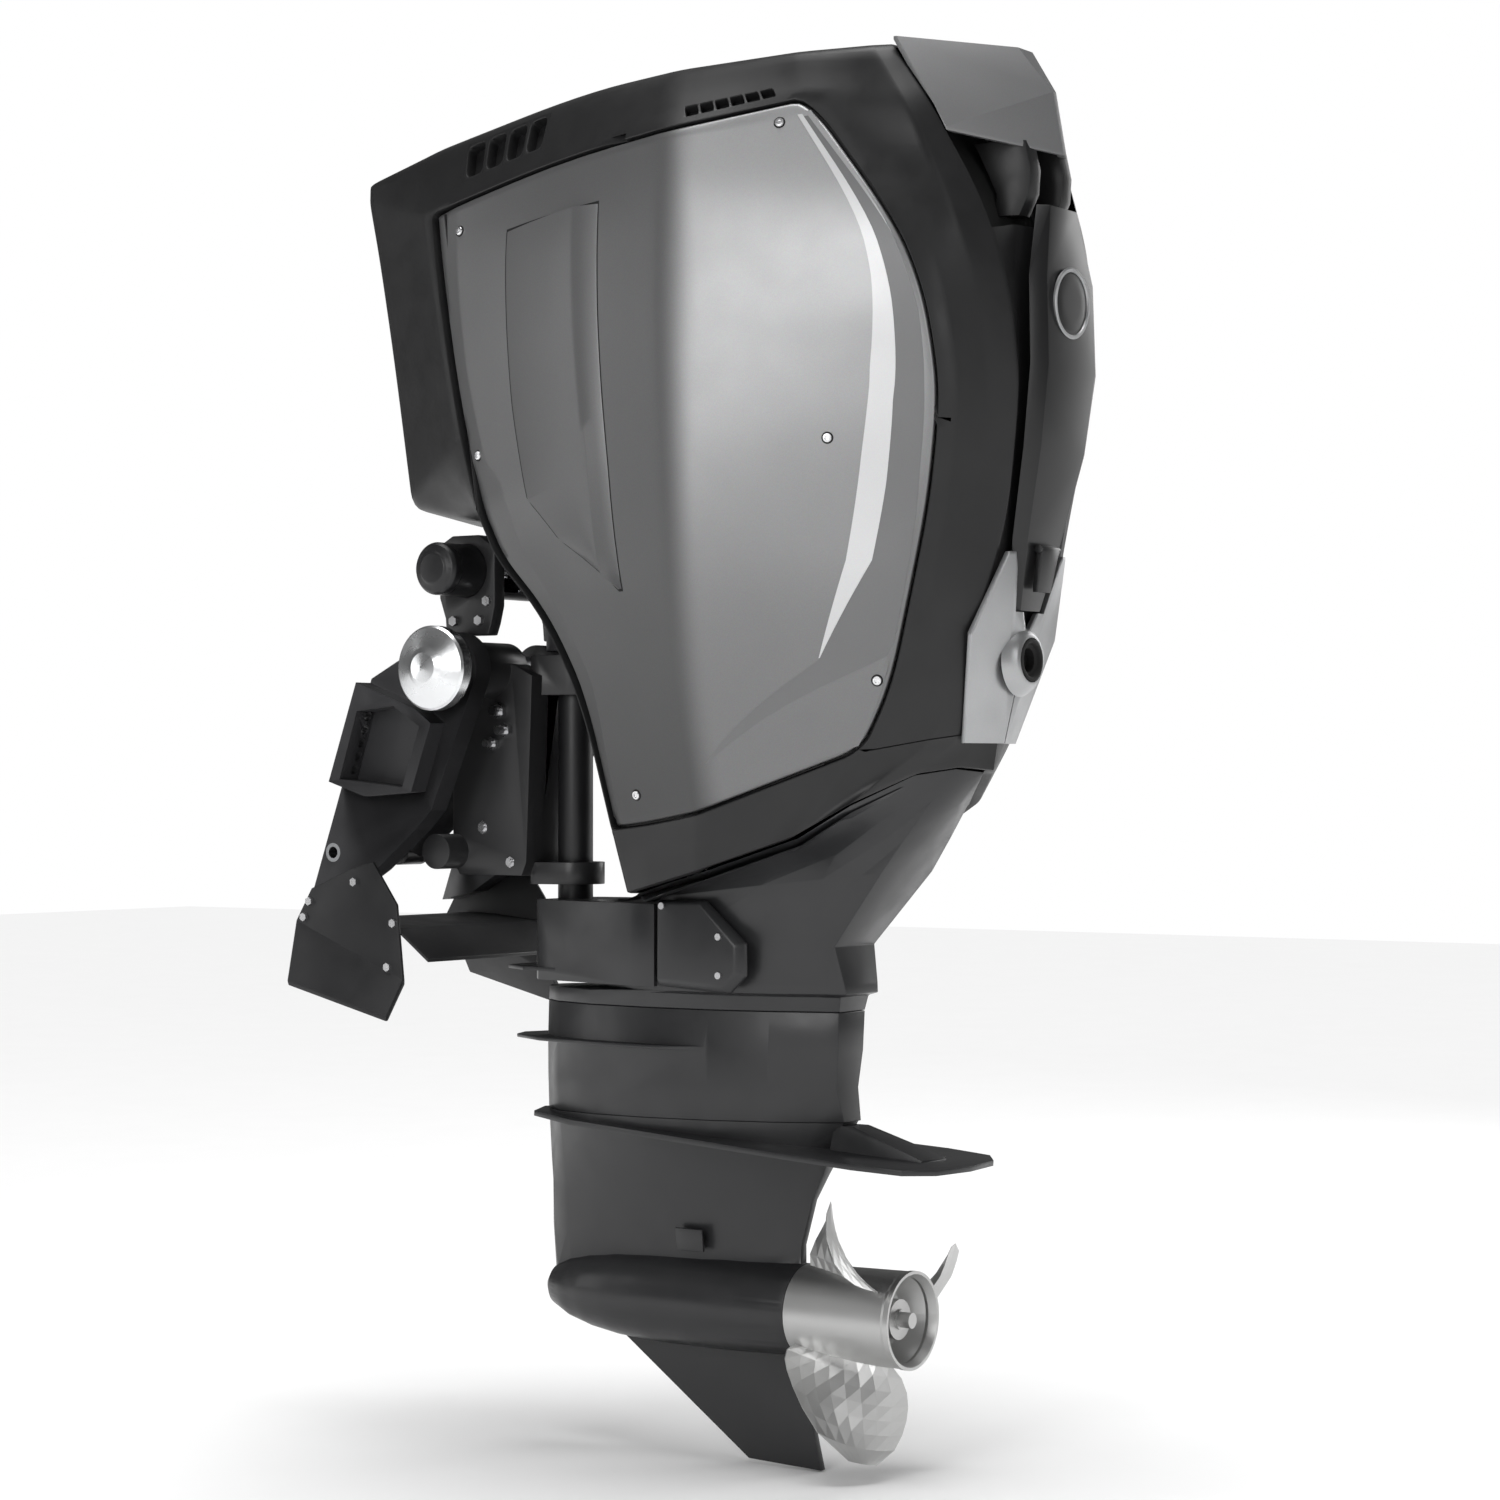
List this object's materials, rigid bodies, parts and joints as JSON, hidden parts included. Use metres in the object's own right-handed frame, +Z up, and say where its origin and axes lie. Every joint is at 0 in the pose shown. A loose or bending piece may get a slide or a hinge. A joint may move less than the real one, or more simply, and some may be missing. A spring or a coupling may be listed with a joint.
{
  "type": "outboard motor",
  "caption": "Large outboard boat engine with clamp brackets, powered tilt, hydraulic steering, faceted cowl, long-shaft leg and stainless propeller.",
  "frame": {"origin": "top edge of the transom, on the centre line, in the plane of the clamp faces", "axes": "+X to starboard, +Y forward to the bow, +Z up; the leg is vertical at rest"},
  "size_m": [0.598, 1.1422, 1.821],
  "materials": {
    "bracket_black": "satin black paint",
    "guard_black": "satin black paint",
    "silver_cap": "brushed",
    "tube_steel": "satin",
    "bolt_steel": "bright",
    "swivel_black": "satin black paint",
    "ram_black": "satin black paint",
    "fitting_steel": "bright",
    "ram_chrome": "polished",
    "leg_paint": "satin charcoal paint",
    "cowl_black": "matte",
    "cap_grey": "satin metallic grey",
    "panel_silver": "metallic grey paint",
    "rear_black": "semi-gloss",
    "bezel_silver": "metallic silver paint",
    "rubber_black": "matte",
    "cast_grey": "cast",
    "prop_steel": "satin stainless",
    "gear_steel": "machined"
  },
  "bodies": {
    "transom_bracket": {"clamp_bracket_port": "bracket_black", "clamp_bracket_starboard": "bracket_black", "tilt_tube": "tube_steel", "tilt_tube_caps": "silver_cap", "lower_cross_tube": "tube_steel", "guard_plate_port": "guard_black", "guard_plate_starboard": "guard_black", "cross_shield": "guard_black", "guard_bolts": "bolt_steel"},
    "swivel": {"swivel_bracket": "swivel_black", "steering_cylinder": "ram_black", "steering_cylinder_caps": "ram_black", "steering_support_arms": "swivel_black", "support_arm_bolts": "bolt_steel", "hydraulic_fittings": "fitting_steel"},
    "steering_ram": {"steering_ram": "ram_chrome"},
    "tilt_cylinder": {"tilt_cylinder": "ram_black"},
    "tilt_rod": {"tilt_rod": "ram_chrome"},
    "motor": {"king_pin": "tube_steel", "steering_arm": "swivel_black", "upper_yoke": "bracket_black", "lower_yoke": "leg_paint", "mount_cover_port": "leg_paint", "mount_cover_starboard": "leg_paint", "mount_cover_screws": "bolt_steel", "midsection": "leg_paint", "extension_housing": "leg_paint", "gearcase": "leg_paint", "water_inlet_covers": "leg_paint", "bearing_carrier": "cast_grey", "lower_cowl": "cowl_black", "upper_cowl": "cowl_black", "top_cap": "cap_grey", "side_panel_port": "panel_silver", "side_panel_starboard": "panel_silver", "vent_door_port": "panel_silver", "vent_door_starboard": "panel_silver", "panel_screws": "bolt_steel", "rear_panel": "rear_black", "rear_badge": "rear_black", "rear_bezel_port": "bezel_silver", "rear_bezel_starboard": "bezel_silver", "flush_port": "rubber_black", "upper_mounts": "rubber_black", "engine_block": "cast_grey", "cylinder_heads": "cast_grey", "intake_manifold": "cowl_black", "flywheel_cover": "cowl_black", "water_pump_housing": "cast_grey"},
    "latch": {"latch_handle": "rear_black"},
    "driveline": {"crankshaft": "gear_steel", "flywheel": "gear_steel", "drive_shaft": "gear_steel", "pinion": "gear_steel", "impeller": "rubber_black"},
    "forward_gear": {"forward_gear": "gear_steel"},
    "reverse_gear": {"reverse_gear": "gear_steel"},
    "propeller_shaft": {"prop_shaft": "prop_steel", "propeller": "prop_steel"},
    "clutch_dog": {"clutch_dog": "gear_steel"}
  },
  "joints": [
    {"name": "tilt", "type": "hinge", "parent": "transom_bracket", "child": "swivel", "pos_m": [0, -0.13, 0], "axis": [-1, 0, 0], "range_deg": [-5, 66]},
    {"name": "steer", "type": "hinge", "parent": "swivel", "child": "motor", "pos_m": [0, -0.225, 0], "axis": [0, 0, 1], "range_deg": [-25, 25]},
    {"name": "ram_slide", "type": "slide", "parent": "swivel", "child": "steering_ram", "axis": [1, 0, 0], "range_m": [-0.05, 0.05]},
    {"name": "tilt_cylinder_pivot", "type": "hinge", "parent": "transom_bracket", "child": "tilt_cylinder", "pos_m": [0, 0.074, -0.25], "axis": [-1, 0, 0], "range_deg": [-8, 8]},
    {"name": "tilt_rod_slide", "type": "slide", "parent": "tilt_cylinder", "child": "tilt_rod", "axis": [0, -0.7626, 0.6469], "range_m": [-0.008, 0.07]},
    {"name": "latch_flip", "type": "hinge", "parent": "motor", "child": "latch", "pos_m": [0, -0.966, 0.137], "axis": [-1, 0, 0], "range_deg": [0, 35]},
    {"name": "driveline_spin", "type": "hinge", "parent": "motor", "child": "driveline", "pos_m": [0, -0.43, -0.4], "axis": [0, 0, 1], "continuous": true},
    {"name": "forward_gear_spin", "type": "hinge", "parent": "motor", "child": "forward_gear", "pos_m": [0, -0.43, -0.842], "axis": [0, 1, 0], "continuous": true},
    {"name": "reverse_gear_spin", "type": "hinge", "parent": "motor", "child": "reverse_gear", "pos_m": [0, -0.43, -0.842], "axis": [0, 1, 0], "continuous": true},
    {"name": "propeller_spin", "type": "hinge", "parent": "motor", "child": "propeller_shaft", "pos_m": [0, -0.6, -0.842], "axis": [0, 1, 0], "continuous": true},
    {"name": "clutch_slide", "type": "slide", "parent": "propeller_shaft", "child": "clutch_dog", "axis": [0, 1, 0], "range_m": [-0.006, 0.006]}
  ],
  "couplings": [
    {"joint": "ram_slide", "follows": "steer", "m_per_rad": -0.101},
    {"joint": "tilt_rod_slide", "follows": "tilt", "m_per_rad": 0.056},
    {"joint": "tilt_cylinder_pivot", "follows": "tilt", "ratio": 0.0155},
    {"joint": "forward_gear_spin", "follows": "driveline_spin", "ratio": -0.54167},
    {"joint": "reverse_gear_spin", "follows": "driveline_spin", "ratio": 0.54167}
  ]
}
